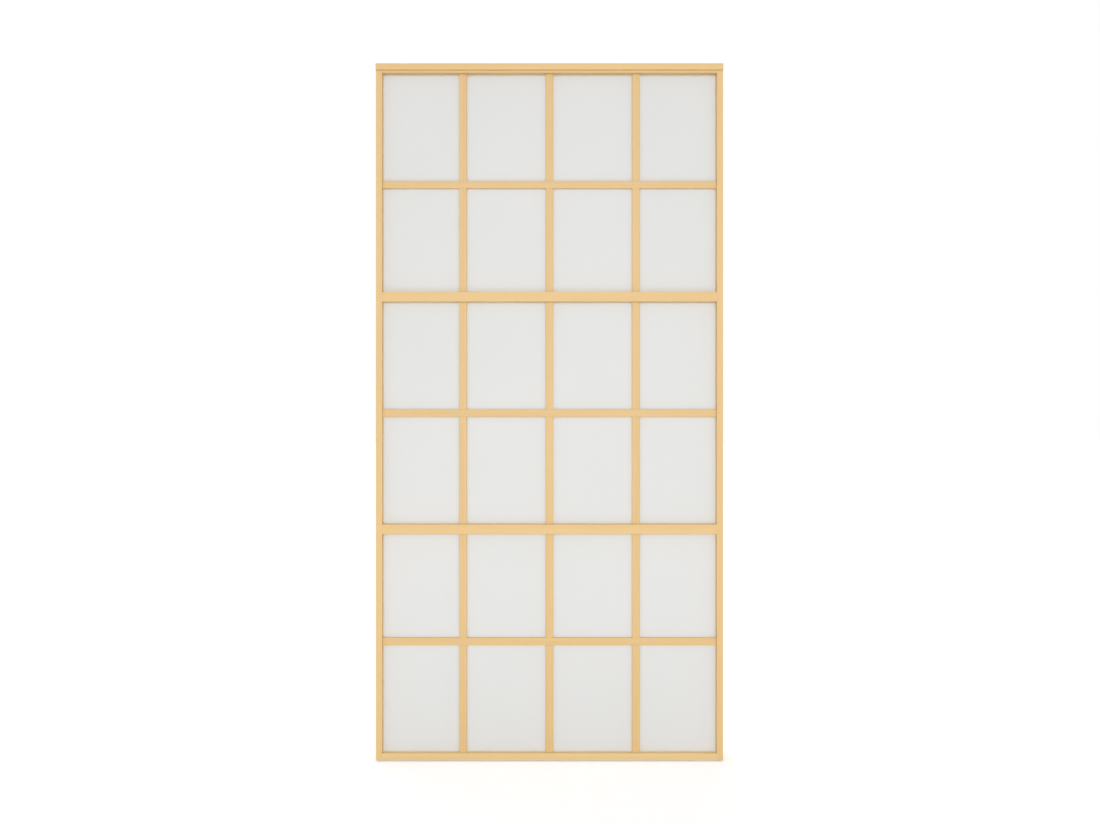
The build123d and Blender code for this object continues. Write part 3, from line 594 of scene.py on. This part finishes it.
def make_screws():
    """Each group: piece, CAD node, its directions, shank's radius, countersunk or not, head's depth."""
    groups = [
        ("stile_corner_screws", "corner_screws", side_directions, MIDDLE_SHANK, False, 0.0024),
        ("leaf_rail_screws", "leaf_channel_screws", all_toward((0, -1, 0)), THIN_SHANK, True, 0.0025),
        ("head_rail_screws", "fixed_channel_screws", all_toward((0, 1, 0)), THIN_SHANK, True, 0.0025),
        ("pelmet_and_soffit_screws", "cover_screws", cover_directions, THIN_SHANK, True, 0.0025),
        ("jamb_screws", "frame_screws", frame_directions, THICK_SHANK, True, 0.0026),
        ("floor_guide_screws", "guide_screws", all_toward((0, 1, 0)), THIN_SHANK, False, 0.0012),
    ]
    for name, node, directions, shank, countersunk, head in groups:
        screw_group(name, node, directions(node), shank, countersunk, head)


def pile_length(length, reach, chance):
    """A short run of bristle tufts in three rows, up from the origin; each leans a little at random."""
    shape = bmesh.new()
    quarter_turn = Matrix.Rotation(math.radians(90), 3, "X")
    count = round(length / TUFT_PITCH)
    for row in (-1, 0, 1):
        for step in range(count):
            tall = reach * chance.uniform(SHORTEST_TUFT, 1.0)
            tuft = bmesh.ops.create_cone(
                shape, cap_ends=False, segments=4, radius1=TUFT_FOOT, radius2=TUFT_TIP, depth=tall
            )["verts"]
            bmesh.ops.rotate(shape, verts=tuft, cent=(0, 0, 0), matrix=quarter_turn)
            lean = chance.uniform(-TUFT_LEAN, TUFT_LEAN)
            for v in tuft:
                if v.co.y < 0:
                    v.co.z += lean
            x = row * TUFT_ROW_PITCH + chance.uniform(-TUFT_STRAY, TUFT_STRAY)
            z = (step + 0.5 + chance.uniform(-PLACE_STRAY, PLACE_STRAY)) * length / count
            bmesh.ops.translate(shape, verts=tuft, vec=(x, -tall / 2, z))
    mesh = bpy.data.meshes.new("pile_length")
    shape.to_mesh(mesh)
    shape.free()
    return mesh


def brush_seal(name, node, seed):
    """Woven backing with bristles that end just short of the leaf."""
    low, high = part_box(node)
    backing_front = high.y - SEAL_BACKING
    middle = (low.x + high.x) / 2
    shape = bmesh.new()
    made = bmesh.ops.create_cube(shape, size=1.0)["verts"]
    bmesh.ops.scale(shape, vec=(high.x - low.x, SEAL_BACKING, high.z - low.z), verts=made)
    bmesh.ops.translate(shape, vec=(middle, high.y - SEAL_BACKING / 2, (low.z + high.z) / 2), verts=made)
    edges = [e for e in shape.edges if abs(e.verts[0].co.z - e.verts[1].co.z) > 0.1]
    bmesh.ops.bevel(shape, geom=edges, offset=SEAL_ROUNDING, segments=2, profile=0.5, affect="EDGES", material=-1)
    chance = random.Random(seed)
    length = (high.z - low.z - 2 * SEAL_END) / SEAL_RUNS
    patterns = [pile_length(length, backing_front - low.y, chance) for _ in range(PILE_PATTERNS)]
    for run in range(SEAL_RUNS):
        pile = chance.choice(patterns)
        place = Matrix.Translation((middle, backing_front + TUFT_STRAY, low.z + SEAL_END + run * length))
        pile.transform(place)
        shape.from_mesh(pile)
        pile.transform(place.inverted())
    for mesh in patterns:
        bpy.data.meshes.remove(mesh)
    return make_piece(name, shape, finishes["brush_pile"], "brush_pile", body_of[node], node)


add_camera()
light_studio()
add_floor()
dress_cad_nodes()
make_screws()
brush_seal("left_brush_seal", "left_seal", 11)
brush_seal("right_brush_seal", "right_seal", 12)

bpy.context.scene.view_settings.view_transform = "Standard"
